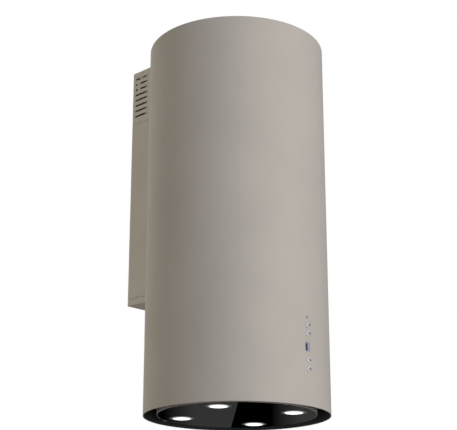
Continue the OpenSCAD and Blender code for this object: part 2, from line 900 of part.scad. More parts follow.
module drum_pan() {
    color(paint) at_rim() difference() {
        union() {
            rotate_extrude($fn = 180) union() {
                translate([pan_r - sheet_t, glass_z + gap]) square([sheet_t, pan_top - glass_z - gap]);
                translate([0, pan_floor]) square([pan_r - hair_gap, sheet_t]);
                translate([pan_r - pan_lip, pan_top - sheet_t]) square([pan_lip, sheet_t]);
            }
            both_sides() translate([hinge_x, 0, hinge_z]) {
                block(-lug_half, lug_half, lug_front, hinge_y, -4, lug_r);
                translate([0, hinge_y, 0]) rod_x(lug_r, -lug_half, lug_half);
            }
        }
        lamp_holes();
        both_sides() translate([hinge_x, hinge_y, hinge_z])
            rod_x(hinge_pin_r, -lug_half - cut, lug_half + cut);
    }
}

module glass_panel() {
    color(black) at_rim() difference() {
        translate([0, 0, glass_z]) cylinder(r = pan_r - sheet_t - gap, h = glass_t, $fn = 180);
        lamp_holes();
    }
}

module lamp_body(i) {
    seat_r = lens_r + close_gap;
    fin_pitch = 3.6;
    fin_t = 1.4;
    color(alloy) at_lamp(i) rotate_extrude() translate([0, glass_z]) union() {
        translate([seat_r, -bezel_t]) square([bezel_r - seat_r, bezel_t]);
        translate([seat_r, -bezel_t]) square([lamp_body_r - seat_r, 4]);
        translate([0, 2.2]) square([lamp_body_r, 6]);
        translate([0, 8]) square([12, 16]);
        for (k = [0 : 3]) translate([0, 10.5 + fin_pitch * k]) square([lamp_body_r - 1, fin_t]);
    }
}

// A lens whose outer face bulges down to just above the rim
module lamp_lens(i) {
    dome_r = (lens_r * lens_r + lens_bulge * lens_bulge) / (2 * lens_bulge);
    low = glass_z - 0.4 - lens_bulge;
    color(lens_white) at_lamp(i) intersection() {
        translate([0, 0, low - cut]) cylinder(r = lens_r, h = 2.4 + lens_bulge + cut);
        translate([0, 0, low + dome_r]) sphere(r = dome_r, $fn = 360);
    }
}

outer_tube();
inner_liner();
top_cover();
back_plate();
box_lower();
box_vent();
box_bottom_cap();
box_top_cap();
side_screws();
top_screws();
tube_bolts();
cable_grommet();
deck();
rail_left();
rail_right();
chamber_plate();
blower_shelf();
rubber_feet();
scroll_left();
scroll_right();
motor();
motor_spider();
charcoal_left();
charcoal_right();
outlet_adapter();
duct_collar();
filter_frame();
filter_mesh();
latch_keeper();
electronics_box();
electronics_lid();
power_board();
led_driver();
control_housing();
control_board();
display_bezel();
display_screen();
ir_window();
hinge_brackets();
catch_magnets();
impeller();
rotor_shaft();
flap_rear();
flap_front();
button(0);  // button_1
button(1);  // button_2
button(2);  // button_3
button(3);  // button_4
filter_latch();
drum_pan();
glass_panel();
hinge_pins();
lamp_body(0);  // lamp_body_1
lamp_body(1);  // lamp_body_2
lamp_body(2);  // lamp_body_3
lamp_body(3);  // lamp_body_4
lamp_lens(0);  // lamp_lens_1
lamp_lens(1);  // lamp_lens_2
lamp_lens(2);  // lamp_lens_3
lamp_lens(3);  // lamp_lens_4
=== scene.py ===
import json
import math

import bmesh
import bpy
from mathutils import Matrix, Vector


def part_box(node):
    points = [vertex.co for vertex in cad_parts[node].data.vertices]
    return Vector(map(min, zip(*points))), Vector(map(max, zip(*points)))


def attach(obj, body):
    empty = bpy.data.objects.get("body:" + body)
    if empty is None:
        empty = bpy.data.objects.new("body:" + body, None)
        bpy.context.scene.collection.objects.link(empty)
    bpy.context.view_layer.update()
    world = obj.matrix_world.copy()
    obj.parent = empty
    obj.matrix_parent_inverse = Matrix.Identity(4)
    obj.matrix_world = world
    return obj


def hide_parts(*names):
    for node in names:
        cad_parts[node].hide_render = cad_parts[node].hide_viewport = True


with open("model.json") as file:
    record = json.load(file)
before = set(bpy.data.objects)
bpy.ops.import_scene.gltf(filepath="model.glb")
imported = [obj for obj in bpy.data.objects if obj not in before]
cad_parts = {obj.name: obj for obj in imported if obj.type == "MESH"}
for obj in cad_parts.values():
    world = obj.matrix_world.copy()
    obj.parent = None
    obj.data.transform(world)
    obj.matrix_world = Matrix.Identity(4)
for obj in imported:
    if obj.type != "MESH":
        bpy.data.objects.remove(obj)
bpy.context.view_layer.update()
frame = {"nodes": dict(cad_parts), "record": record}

# ---------------------------------------------------------------- places taken from the frame
MM = 0.001
MICRON = 0.000001
tube_low, tube_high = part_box("outer_tube")
AXIS = Vector(((tube_low.x + tube_high.x) / 2, (tube_low.y + tube_high.y) / 2, 0))
RIM_Z = tube_low.z
TUBE_R = (tube_high.x - tube_low.x) / 2
SLOT_OF = {s["node"]: s["material_slot"] for s in frame["record"]["subparts"]}


def node_centre(name):
    low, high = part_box(name)
    return (low + high) / 2


LAMPS = (1, 2, 3, 4)
GLASS_FACE_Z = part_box("glass_panel")[0].z
LENS_R = (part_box("lamp_lens_1")[1].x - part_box("lamp_lens_1")[0].x) / 2
BEZEL_R = (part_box("lamp_body_1")[1].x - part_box("lamp_body_1")[0].x) / 2
LAMP_CENTRES = []
for n in LAMPS:
    lens_centre = node_centre("lamp_lens_%d" % n)
    LAMP_CENTRES.append(Vector((lens_centre.x, lens_centre.y, GLASS_FACE_Z)))
LAMP_LIGHT = (1.0, 1.0, 0.985)


# ---------------------------------------------------------------- material building blocks
class Surface:
    """A material with one principled shader, and short calls for the nodes that feed it."""

    def __init__(self, name, colour=(0.5, 0.5, 0.5), roughness=0.5, metallic=0.0, specular=0.5):
        self.material = bpy.data.materials.new(name)
        self.material.use_nodes = True
        self.tree = self.material.node_tree
        self.tree.nodes.clear()
        self.output = self.add("ShaderNodeOutputMaterial")
        self.shader = self.add("ShaderNodeBsdfPrincipled")
        self.link(self.shader.outputs[0], self.output.inputs[0])
        self.shader.inputs["Base Color"].default_value = (*colour, 1)
        self.shader.inputs["Roughness"].default_value = roughness
        self.shader.inputs["Metallic"].default_value = metallic
        self.shader.inputs["Specular IOR Level"].default_value = specular
        self.place = self.add("ShaderNodeTexCoord").outputs["Object"]

    def add(self, kind, **settings):
        """A new node of that kind, with its settings."""
        node = self.tree.nodes.new(kind)
        for key, value in settings.items():
            setattr(node, key, value)
        return node

    def link(self, source, target):
        self.tree.links.new(source, target)

    def stretched(self, sx, sy, sz):
        """The object's coordinates, multiplied along each axis."""
        mapping = self.add("ShaderNodeMapping")
        mapping.inputs["Scale"].default_value = (sx, sy, sz)
        self.link(self.place, mapping.inputs["Vector"])
        return mapping.outputs[0]

    def noise(self, scale, detail=3.0, vector=None):
        """Soft noise, about that many patches to the metre."""
        node = self.add("ShaderNodeTexNoise")
        node.inputs["Scale"].default_value = scale
        node.inputs["Detail"].default_value = detail
        self.link(vector or self.place, node.inputs["Vector"])
        return node.outputs["Fac"]

    def cells(self, scale, feature="F1", output="Distance"):
        """A pattern of cells, that many to the metre."""
        node = self.add("ShaderNodeTexVoronoi", feature=feature)
        node.inputs["Scale"].default_value = scale
        self.link(self.place, node.inputs["Vector"])
        return node.outputs[output]

    def ramp(self, value, stops):
        """A colour that runs through the stops, given as (place, colour)."""
        node = self.add("ShaderNodeValToRGB")
        band = node.color_ramp
        while len(band.elements) < len(stops):
            band.elements.new(0.5)
        for element, (place, colour) in zip(band.elements, stops):
            element.position = place
            element.color = (*colour, 1)
        self.link(value, node.inputs[0])
        return node.outputs[0]

    def spread(self, value, low, high, start=0.3, end=0.7):
        """The value, stretched from start..end to low..high."""
        node = self.add("ShaderNodeMapRange")
        node.inputs["From Min"].default_value = start
        node.inputs["From Max"].default_value = end
        node.inputs["To Min"].default_value = low
        node.inputs["To Max"].default_value = high
        self.link(value, node.inputs["Value"])
        return node.outputs[0]

    def part(self, axis):
        """One of the object's coordinates."""
        split = self.add("ShaderNodeSeparateXYZ")
        self.link(self.place, split.inputs[0])
        return split.outputs[axis]

    def times(self, first, second):
        node = self.add("ShaderNodeMath", operation="MULTIPLY")
        self.link(first, node.inputs[0])
        self.link(second, node.inputs[1])
        return node.outputs[0]

    def nearest(self, centres):
        """Distance to the nearest of the centres."""
        best = None
        for centre in centres:
            node = self.add("ShaderNodeVectorMath", operation="DISTANCE")
            self.link(self.place, node.inputs[0])
            node.inputs[1].default_value = centre
            distance = node.outputs["Value"]
            if best is not None:
                least = self.add("ShaderNodeMath", operation="MINIMUM")
                self.link(best, least.inputs[0])
                self.link(distance, least.inputs[1])
                distance = least.outputs[0]
            best = distance
        return best

    def profile(self, value, points):
        """A value that runs through the points, given as (place, value), and is level outside them."""
        total = None
        for (start, low), (end, high) in zip(points, points[1:]):
            step = self.spread(value, 0.0, high - low, start, end)
            node = self.add("ShaderNodeMath", operation="ADD")
            self.link(step, node.inputs[0])
            if total is None:
                node.inputs[1].default_value = low
            else:
                self.link(total, node.inputs[1])
            total = node.outputs[0]
        return total

    def glow(self, value, points):
        """Emission whose strength runs through the points."""
        self.link(self.profile(value, points), self.shader.inputs["Emission Strength"])

    def colour(self, value, low, high, start=0.35, end=0.65):
        """Base colour from low to high, as the value goes from start to end."""
        self.link(self.ramp(value, [(start, low), (end, high)]), self.shader.inputs["Base Color"])

    def rough(self, value, low, high, start=0.3, end=0.7):
        """Roughness from low to high, as the value goes from start to end."""
        self.link(self.spread(value, low, high, start, end), self.shader.inputs["Roughness"])

    def bump(self, value, distance, strength=1.0):
        """Relief of that height in metres, on top of any that is there already."""
        node = self.add("ShaderNodeBump")
        node.inputs["Distance"].default_value = distance
        node.inputs["Strength"].default_value = strength
        self.link(value, node.inputs["Height"])
        previous = self.shader.inputs["Normal"].links
        if previous:
            self.link(previous[0].from_socket, node.inputs["Normal"])
        self.link(node.outputs[0], self.shader.inputs["Normal"])


def tone(colour, factor):
    """The colour made lighter or darker by the factor."""
    return tuple(min(1.0, c * factor) for c in colour)


# ---------------------------------------------------------------- materials
PAINT = (0.405, 0.372, 0.328)


def powder_paint(name="powder_paint", lightness=1.0):
    """Fine satin powder coat."""
    paint = tone(PAINT, lightness)
    s = Surface(name, paint, roughness=0.6, specular=0.28)
    s.colour(s.noise(7, 4), tone(paint, 0.975), tone(paint, 1.025))
    s.rough(s.noise(40, 3), 0.57, 0.63)
    s.bump(s.noise(900, 2), 60 * MICRON, 0.5)
    s.bump(s.noise(2600, 1), 20 * MICRON, 0.5)
    return s.material


def black_paint():
    base = (0.012, 0.012, 0.013)
    s = Surface("black_paint", base, roughness=0.55)
    s.colour(s.noise(30, 3), tone(base, 0.8), tone(base, 1.5))
    s.rough(s.noise(120, 2), 0.5, 0.65)
    s.bump(s.noise(1500, 2), 40 * MICRON, 0.6)
    return s.material


def zinc_steel():
    """Zinc-plated sheet, with a faint spangle."""
    base = (0.46, 0.47, 0.48)
    s = Surface("zinc_steel", base, roughness=0.4, metallic=1.0)
    spangle = s.cells(160, output="Color")
    s.colour(spangle, tone(base, 0.93), tone(base, 1.05), 0.2, 0.8)
    s.rough(spangle, 0.38, 0.46, 0.1, 0.9)
    s.bump(s.noise(700, 2), 30 * MICRON, 0.5)
    return s.material


def satin_aluminium():
    """Aluminium with fine streaks along its length."""
    base = (0.72, 0.73, 0.74)
    s = Surface("satin_aluminium", base, roughness=0.34, metallic=1.0)
    streak = s.noise(60, 4, vector=s.stretched(1, 30, 30))
    s.colour(streak, tone(base, 0.9), tone(base, 1.04))
    s.rough(streak, 0.28, 0.42)
    s.bump(streak, 20 * MICRON, 0.5)
    return s.material


def polished_chrome():
    """Polished plating with a little haze, and a faint painted glow that makes it look lighter than its
    reflections alone.
    """
    base = (0.90, 0.90, 0.95)
    s = Surface("polished_chrome", base, roughness=0.12, metallic=1.0)
    # Painted light: a faint bluish glow that lightens the plating
    s.shader.inputs["Emission Color"].default_value = (0.85, 0.88, 1.0, 1)
    s.shader.inputs["Emission Strength"].default_value = 0.07
    haze = s.noise(300, 3)
    s.colour(haze, tone(base, 0.96), tone(base, 1.03))
    s.rough(haze, 0.09, 0.16)
    return s.material


def black_glass():
    """Polished black glass, with a painted glow of the lamps' light fading out across it."""
    base = (0.004, 0.004, 0.005)
    s = Surface("black_glass", base, roughness=0.004, specular=0.5)
    s.colour(s.noise(12, 3), tone(base, 0.7), tone(base, 1.4))
    s.rough(s.noise(25, 4), 0.002, 0.008)
    # Painted light: a glow round each lamp, fading out 8 mm beyond the lamp's rim
    s.shader.inputs["Emission Color"].default_value = (*LAMP_LIGHT, 1)
    halo = [(BEZEL_R, 0.20), (BEZEL_R + 2 * MM, 0.09), (BEZEL_R + 8 * MM, 0.0)]
    s.glow(s.nearest(LAMP_CENTRES), halo)
    return s.material


def lit_lens():
    """Frosted plastic, brightest in the middle."""
    s = Surface("lit_lens", (0.9, 0.9, 0.88), roughness=0.35)
    s.colour(s.noise(400, 2), (0.86, 0.86, 0.84), (0.93, 0.93, 0.91))
    s.shader.inputs["Emission Color"].default_value = (*LAMP_LIGHT, 1)
    s.glow(s.nearest(LAMP_CENTRES), [(0.0, 1.9), (LENS_R * 0.75, 1.4), (LENS_R, 0.85)])
    s.bump(s.cells(900), 30 * MICRON, 0.4)
    return s.material


def lamp_metal():
    """Cast aluminium, whose rim round the lens carries a painted glow of its light."""
    base = (0.60, 0.61, 0.62)
    s = Surface("lamp_metal", base, roughness=0.42, metallic=0.9)
    s.colour(s.noise(90, 4), tone(base, 0.9), tone(base, 1.05))
    s.rough(s.noise(160, 3), 0.36, 0.5)
    s.bump(s.noise(1200, 2), 40 * MICRON, 0.5)
    # Painted light: a glow on the rim round the lens, on its lower face only
    s.shader.inputs["Emission Color"].default_value = (*LAMP_LIGHT, 1)
    ring = s.profile(s.nearest(LAMP_CENTRES), [(LENS_R, 0.55), (BEZEL_R, 0.2), (BEZEL_R + 0.5 * MM, 0.0)])
    face = s.profile(s.part("Z"), [(GLASS_FACE_Z + 0.2 * MM, 1.0), (GLASS_FACE_Z + 0.8 * MM, 0.0)])
    s.link(s.times(ring, face), s.shader.inputs["Emission Strength"])
    return s.material


def soft_rubber():
    base = (0.018, 0.018, 0.019)
    s = Surface("soft_rubber", base, roughness=0.75)
    s.colour(s.noise(60, 3), tone(base, 0.8), tone(base, 1.5))
    s.rough(s.noise(200, 3), 0.65, 0.85)
    s.bump(s.noise(1800, 2), 50 * MICRON, 0.6)
    return s.material


def moulded_plastic():
    base = (0.028, 0.028, 0.030)
    s = Surface("moulded_plastic", base, roughness=0.5)
    s.colour(s.noise(25, 3), tone(base, 0.85), tone(base, 1.25))
    s.rough(s.noise(90, 3), 0.42, 0.58)
    s.bump(s.noise(2200, 2), 50 * MICRON, 0.7)
    return s.material


def circuit_board():
    base = (0.012, 0.10, 0.045)
    s = Surface("circuit_board", base, roughness=0.35)
    tracks = s.cells(420, feature="DISTANCE_TO_EDGE", output="Distance")
    s.colour(tracks, tone(base, 1.9), base, 0.02, 0.06)
    s.rough(s.noise(80, 3), 0.3, 0.42)
    s.bump(tracks, 30 * MICRON, 0.6)
    return s.material


def smoked_window():
    base = (0.035, 0.034, 0.055)
    s = Surface("smoked_window", base, roughness=0.08)
    s.colour(s.noise(120, 2), tone(base, 0.8), tone(base, 1.4))
    s.rough(s.noise(300, 2), 0.05, 0.11)
    return s.material


def carbon_block():
    base = (0.02, 0.02, 0.021)
    s = Surface("carbon_block", base, roughness=0.8)
    s.colour(s.cells(500), tone(base, 0.5), tone(base, 1.8), 0.1, 0.6)
    s.bump(s.cells(500), 200 * MICRON, 0.7)
    return s.material


def display_surround():
    """Satin plastic, dark at its front edge and lighter further in, where it carries a painted lavender
    glow.
    """
    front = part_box("display_bezel")[0].y
    base = (0.60, 0.58, 0.74)
    s = Surface("display_surround", base, roughness=0.45)
    depth = s.part("Y")
    inward = s.spread(depth, 0.0, 1.0, front, front + 4 * MM)
    s.colour(inward, tone(base, 0.45), tone(base, 1.05), 0.08, 0.2)
    s.rough(s.noise(260, 2), 0.4, 0.5)
    # Painted light: a lavender glow on the inner walls, from about 1 mm behind the front face
    s.shader.inputs["Emission Color"].default_value = (0.62, 0.6, 0.80, 1)
    s.glow(depth, [(front + 0.4 * MM, 0.0), (front + 1.2 * MM, 0.28)])
    return s.material


def sensor_window():
    base = (0.16, 0.145, 0.20)
    s = Surface("sensor_window", base, roughness=0.2)
    s.colour(s.noise(500, 2), tone(base, 0.9), tone(base, 1.15))
    s.rough(s.noise(300, 2), 0.16, 0.25)
    return s.material


BUILDERS = {
    "painted_steel": powder_paint,
    "black_steel": black_paint,
    "zinc_steel": zinc_steel,
    "aluminium": satin_aluminium,
    "chrome": polished_chrome,
    "black_glass": black_glass,
    "lens": lit_lens,
    "rubber": soft_rubber,
    "dark_plastic": moulded_plastic,
    "board": circuit_board,
    "dark_window": smoked_window,
    "carbon": carbon_block,
}
MATERIALS = {slot: build() for slot, build in BUILDERS.items()}
# Painted light: the wall box gets the tube's paint made lighter, standing in for the extra light that falls
# on it
MATERIALS["box_paint_painted_lighter"] = powder_paint("box_paint_painted_lighter", lightness=1.4)
MATERIALS["lamp_metal"] = lamp_metal()
MATERIALS["display_surround"] = display_surround()
MATERIALS["sensor_window"] = sensor_window()
OWN_FINISH = {"display_bezel": "display_surround", "ir_window": "sensor_window"}
OWN_FINISH.update({"lamp_body_%d" % n: "lamp_metal" for n in LAMPS})
WALL_BOX = ("box_lower", "box_vent", "box_bottom_cap", "box_top_cap")
OWN_FINISH.update({name: "box_paint_painted_lighter" for name in WALL_BOX})


def dress(obj, finish):
    obj.data.materials.clear()
    obj.data.materials.append(MATERIALS[finish])


for name, obj in frame["nodes"].items():
    dress(obj, OWN_FINISH.get(name, SLOT_OF[name]))


# ---------------------------------------------------------------- pieces
AROUND_A_SQUARE = ((-1, -1), (1, -1), (1, 1), (-1, 1))
UP = Vector((0, 0, 1))


def from_rim(x, y, z):
    """A point in millimetres: to the right and rearward of the tube's axis, and above its rim."""
    return AXIS + Vector((x * MM, y * MM, RIM_Z + z * MM))


def mesh_object(name, bm, smooth=True):
    """An object in the scene from the mesh in hand, which it uses up."""
    bmesh.ops.recalc_face_normals(bm, faces=bm.faces)
    mesh = bpy.data.meshes.new(name)
    bm.to_mesh(mesh)
    bm.free()
    mesh.shade_smooth()
    if smooth:
        mesh.set_sharp_from_angle(angle=math.radians(35))
    else:
        mesh.shade_flat()
    obj = bpy.data.objects.new(name, mesh)
    bpy.context.scene.collection.objects.link(obj)
    return obj


def add_piece(name, bm, body, finish, smooth=True, instead_of=()):
    """A new piece of the hood that rides on the body, in the finish of that slot."""
    obj = mesh_object(name, bm, smooth)
    dress(obj, finish)
    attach(obj, body)
    if instead_of:
        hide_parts(*instead_of)
    return obj


def bridge(bm, first, second):
    """Joins two closed loops of equal length with a band of faces."""
    count = len(first)
    for k in range(count):
        bm.faces.new((first[k], first[(k + 1) % count], second[(k + 1) % count], second[k]))


def skin(bm, loops):
    """A closed shape over the loops, with a flat face at each end."""
    for first, second in zip(loops, loops[1:]):
        bridge(bm, first, second)
    bm.faces.new(loops[0])
    bm.faces.new(loops[-1])


def turned(bm, start, along, profile, count=32):
    """A closed turned shape. The profile is pairs of radius and distance along, in millimetres.

    A radius is a number, or a function of the angle.
    """
    side = along.orthogonal().normalized()
    other = along.cross(side)
    loops = []
    for radius, distance in profile:
        middle = start + along * distance * MM
        loop = []
        for k in range(count):
            a = 2 * math.pi * k / count
            r = (radius(a) if callable(radius) else radius) * MM
            loop.append(bm.verts.new(middle + (side * math.cos(a) + other * math.sin(a)) * r))
        loops.append(loop)
    skin(bm, loops)


def cross_recess(length, half_width):
    """Radius, at each angle, of a cross with arms of that length."""
    tiny = 1e-6

    def radius(a):
        c = max(abs(math.cos(a)), tiny)
        s = max(abs(math.sin(a)), tiny)
        return max(min(length / c, half_width / s), min(half_width / c, length / s))
    return radius


def brick(bm, low, high, turn=0.0):
    """A box between two corners, in millimetres from the rim, turned about its own centre."""
    middle = [(a + b) / 2 for a, b in zip(low, high)]
    half = [(b - a) / 2 for a, b in zip(low, high)]
    c, s = math.cos(turn), math.sin(turn)
    loops = []
    for sz in (-1, 1):
        loop = []
        for sx, sy in AROUND_A_SQUARE:
            x, y = half[0] * sx, half[1] * sy
            place = from_rim(middle[0] + x * c - y * s, middle[1] + x * s + y * c, middle[2] + half[2] * sz)
            loop.append(bm.verts.new(place))
        loops.append(loop)
    skin(bm, loops)


def rounded(obj, width, segments=2):
    """Softens the edges of a piece by that width in millimetres."""
    bevel = obj.modifiers.new("soft_edges", "BEVEL")
    bevel.width = width * MM
    bevel.segments = segments
    bevel.limit_method = "ANGLE"
    bevel.angle_limit = math.radians(40)


def smooth_path(points, steps=6):
    """The points joined by a curve that passes through each of them."""
    padded = [points[0] * 2 - points[1]] + points + [points[-1] * 2 - points[-2]]
    path = []
    for p0, p1, p2, p3 in zip(padded, padded[1:], padded[2:], padded[3:]):
        for k in range(steps):
            t = k / steps
            path.append(0.5 * (2 * p1 + (p2 - p0) * t + (2 * p0 - 5 * p1 + 4 * p2 - p3) * t * t
                               + (3 * p1 - p0 - 3 * p2 + p3) * t ** 3))
    path.append(points[-1])
    return path


def lead(bm, points, radius, count=10):
    """A round lead through the points, with closed ends."""
    path = smooth_path(points)
    side = (path[1] - path[0]).orthogonal().normalized()
    loops = []
    for k, point in enumerate(path):
        along = (path[min(k + 1, len(path) - 1)] - path[max(k - 1, 0)]).normalized()
        side = (side - along * side.dot(along)).normalized()
        other = along.cross(side)
        angles = [2 * math.pi * j / count for j in range(count)]
        loops.append([bm.verts.new(point + (side * math.cos(a) + other * math.sin(a)) * radius * MM)
                      for a in angles])
    skin(bm, loops)


def strand(bm, places, width, thick, flat_side):
    """A flat metal strand through the places, as wide as given in the plane of the mesh."""
    loops = []
    for k, place in enumerate(places):
        along = (places[min(k + 1, len(places) - 1)] - places[max(k - 1, 0)]).normalized()
        across = along.cross(flat_side).normalized() * width / 2 * MM
        up = flat_side * thick / 2 * MM
        loops.append([bm.verts.new(place + across * sx + up * sz) for sx, sz in AROUND_A_SQUARE])
    skin(bm, loops)


def grease_mesh():
    """Two crossed layers of expanded aluminium, in a thin edge strip."""
    low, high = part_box("filter_mesh")
    half = (high.x - low.x) / 2 / MM
    edge = 2.2
    edge_low, edge_high = 61.6, 66.4
    lower_layer, upper_layer = 62.4, 65.4
    strand_w, strand_t = 1.25, 0.6
    overlap = 0.35
    weave = 0.3
    reach = half - edge / 2
    inside = half - edge
    rows, columns = 34, 44
    pitch, step = 2 * reach / rows, 2 * reach / columns
    bm = bmesh.new()
    for height, crossed in ((lower_layer, False), (upper_layer, True)):
        for row in range(rows):
            places = []
            for k in range(columns + 1):
                u = -reach + k * step
                swing = 1 if (k + row) % 2 else -1
                v = -reach + (row + 0.5) * pitch + swing * (pitch / 2 - overlap)
                x, y = (v, u) if crossed else (u, v)
                places.append(from_rim(x, y, height + weave * swing))
            strand(bm, places, strand_w, strand_t, UP)
    brick(bm, (-inside, -half, edge_low), (inside, -inside, edge_high))
    brick(bm, (-inside, inside, edge_low), (inside, half, edge_high))
    brick(bm, (-half, -half, edge_low), (-inside, half, edge_high))
    brick(bm, (inside, -half, edge_low), (half, half, edge_high))
    add_piece("grease_mesh", bm, "hood", "aluminium", smooth=False, instead_of=["filter_mesh"])


grease_mesh()

# Height above the rim of the side screws, and their distance from the wall
SIDE_SCREWS_Z = (823.3, 702.3, 402.0, 280.0)
SIDE_SCREW_DEPTH = 28


def side_screws():
    """Pan-head screws with a cross recess, four on each side of the wall box."""
    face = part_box("box_lower")[1].x
    recess = cross_recess(1.35, 0.32)
    shank = [(1.5, -5), (1.5, 0)]
    head = [(2.6, 0), (2.6, 0.45), (2.35, 0.8), (1.8, 1.12)]
    socket = [(recess, 1.2), (recess, 0.5)]
    bm = bmesh.new()
    for side in (-1, 1):
        for z in SIDE_SCREWS_Z:
            start = Vector((side * face, -SIDE_SCREW_DEPTH * MM, RIM_Z + z * MM))
            turned(bm, start, Vector((side, 0, 0)), shank + head + socket, 48)
    add_piece("side_screw_heads", bm, "hood", "zinc_steel", instead_of=["side_screws"])


side_screws()


def top_screws():
    """Four screws with a cross recess that hold the top cover on its rails."""
    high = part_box("top_screws")[1]
    head_r, head_h = 3.5, 2
    x = high.x / MM - head_r
    y = 9
    seat = (high.z - RIM_Z) / MM - head_h
    recess = cross_recess(1.9, 0.45)
    shank = [(1.9, -8), (1.9, 0)]
    head = [(head_r, 0), (head_r, 0.9), (3.1, 1.5), (2.4, 1.9)]
    socket = [(recess, head_h), (recess, 0.9)]
    bm = bmesh.new()
    for sx in (-1, 1):
        for sy in (-1, 1):
            turned(bm, from_rim(sx * x, sy * y, seat), UP, shank + head + socket, 48)
    add_piece("top_screw_heads", bm, "hood", "zinc_steel", instead_of=["top_screws"])


top_screws()


def rivets(name, places, radius, rise, body, finish):
    """Domed rivet heads that stand down from the places."""
    dome = [(1, -0.2 / rise), (1, 0.15), (0.86, 0.6), (0.5, 0.92), (0.12, 1)]
    bm = bmesh.new()
    for place in places:
        turned(bm, place, -UP, [(radius * across, rise * down) for across, down in dome], 24)
    add_piece(name, bm, body, finish)


def on_ring(radius, angle, height):
    """A point at that radius from the tube's axis, at that angle in radians."""
    return from_rim(radius * math.cos(angle), radius * math.sin(angle), height)


def all_rivets():
    """Rivets round the intake deck, and in the corners of the grease filter's frame."""
    deck_low = (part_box("deck")[0].z - RIM_Z) / MM
    ring_r = 187
    angles = (20, 70, 110, 160, 200, 250, 290, 340)
    round_deck = [on_ring(ring_r, math.radians(a), deck_low) for a in angles]
    rivets("deck_rivets", round_deck, 2.4, 0.9, "hood", "zinc_steel")
    frame_low = 60.0
    corner = 120.5
    corners = [from_rim(x, y, frame_low) for x in (-corner, corner) for y in (-corner, corner)]
    rivets("filter_rivets", corners, 1.6, 0.6, "hood", "aluminium")


all_rivets()

# Where the catch magnets stand, in millimetres from the tube's axis
CATCH_X = 60
CATCH_Y = -151.5


def strike_plates():
    """Thin steel plates on the pan's upper flange, under the two catch magnets."""
    top = (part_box("drum_pan")[1].z - RIM_Z) / MM
    inner_r, outer_r = 159.5, 166.5
    thick = 0.3
    half_turn = math.radians(4)
    steps = 8
    bm = bmesh.new()
    for side in (-1, 1):
        centre = math.atan2(CATCH_Y, CATCH_X * side)
        angles = [centre - half_turn + 2 * half_turn * k / steps for k in range(steps + 1)]
        edges = []
        for radius, height in ((inner_r, 0), (outer_r, 0), (outer_r, thick), (inner_r, thick)):
            edges.append([bm.verts.new(on_ring(radius, a, top + height)) for a in angles])
        skin(bm, list(zip(*edges)))
    add_piece("strike_plates", bm, "panel", "zinc_steel")


strike_plates()

# The drum pan's inner floor, the leads' radius and the terminal block's place, in millimetres
PAN_FLOOR = 8.2
LEAD_R = 1.9
BLOCK_Y = 124


def lamp_leads():
    """A sheathed lead from the top of each lamp, round the pan, to the terminal block at the rear."""
    bm = bmesh.new()
    clips = bmesh.new()
    floor = PAN_FLOOR + LEAD_R
    ring_r = 93
    point_every = 0.42
    clip_x, clip_y = 6, 2.5
    clip_top = floor + LEAD_R + 0.8
    rear_lamp_y = 100
    for n, centre in zip(LAMPS, LAMP_CENTRES):
        x, y = (centre.x - AXIS.x) / MM, (centre.y - AXIS.y) / MM
        start = math.atan2(y, x)
        side = 1 if x > 0 else -1
        end = math.atan2(BLOCK_Y, 10 * side + 4)
        top = (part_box("lamp_body_%d" % n)[1].z - RIM_Z) / MM
        way_down = ((1, top - 1), (0.985, top + 2.2), (0.90, top + 2.6), (0.80, 17), (0.76, floor))
        points = [from_rim(x * share, y * share, z) for share, z in way_down]
        turn = (end - start + math.pi) % (2 * math.pi) - math.pi
        if side * turn < 0:
            turn += 2 * math.pi * side
        steps = max(2, round(abs(turn) / point_every))
        for k in range(1, steps):
            a = start + turn * k / steps
            points.append(on_ring(ring_r, a, floor))
            if k % 2:
                cx, cy = ring_r * math.cos(a), ring_r * math.sin(a)
                brick(clips, (cx - clip_x, cy - clip_y, PAN_FLOOR), (cx + clip_x, cy + clip_y, clip_top), a)
        terminal_x = (6 if y > rear_lamp_y else 13) * side
        points.append(from_rim(terminal_x, BLOCK_Y - 20, floor))
        points.append(from_rim(terminal_x, BLOCK_Y - 6, floor + 1))
        lead(bm, points, LEAD_R)
    add_piece("lamp_leads", bm, "panel", "rubber")
    rounded(add_piece("lead_clips", clips, "panel", "dark_plastic"), 0.8)


lamp_leads()


def terminal_block():
    """The block that joins the lamps' leads, its screws, and the short tail with a plug."""
    block_top = PAN_FLOOR + 12
    ear_top = PAN_FLOOR + 2.5
    bm = bmesh.new()
    brick(bm, (-22, BLOCK_Y - 8, PAN_FLOOR), (22, BLOCK_Y + 8, block_top))
    brick(bm, (-28, BLOCK_Y - 5, PAN_FLOOR), (-21, BLOCK_Y + 5, ear_top))
    brick(bm, (21, BLOCK_Y - 5, PAN_FLOOR), (28, BLOCK_Y + 5, ear_top))
    rounded(add_piece("terminal_block", bm, "panel", "dark_plastic"), 0.8)
    screws = bmesh.new()
    sunk = 0.1
    clamp_recess = cross_recess(1.2, 0.3)
    clamp_screw = [(2.0, -1), (2.0, 0.5), (1.7, 0.8), (clamp_recess, 0.8), (clamp_recess, 0.35)]
    for x in (-15, -5, 5, 15):
        for y in (-3.5, 3.5):
            turned(screws, from_rim(x, BLOCK_Y + y, block_top - sunk), UP, clamp_screw, 32)
    ear_recess = cross_recess(1.3, 0.3)
    ear_screw = [(2.2, -1), (2.2, 0.5), (1.8, 0.9), (ear_recess, 0.9), (ear_recess, 0.3)]
    for x in (-24.8, 24.8):
        turned(screws, from_rim(x, BLOCK_Y, ear_top - sunk), UP, ear_screw, 32)
    add_piece("terminal_screws", screws, "panel", "zinc_steel")
    tail = bmesh.new()
    route = ((0, BLOCK_Y + 6, 13), (0, BLOCK_Y + 12, 12), (1, BLOCK_Y + 18, 12.5), (2, BLOCK_Y + 25, 18))
    lead(tail, [from_rim(*place) for place in route], LEAD_R)
    add_piece("tail_lead", tail, "panel", "rubber")
    plug = bmesh.new()
    brick(plug, (-3, 144.5, 17), (7, 152.5, 28))
    brick(plug, (-1, 146, 27), (5, 151, 31))
    rounded(add_piece("lead_plug", plug, "panel", "dark_plastic"), 0.6)


terminal_block()

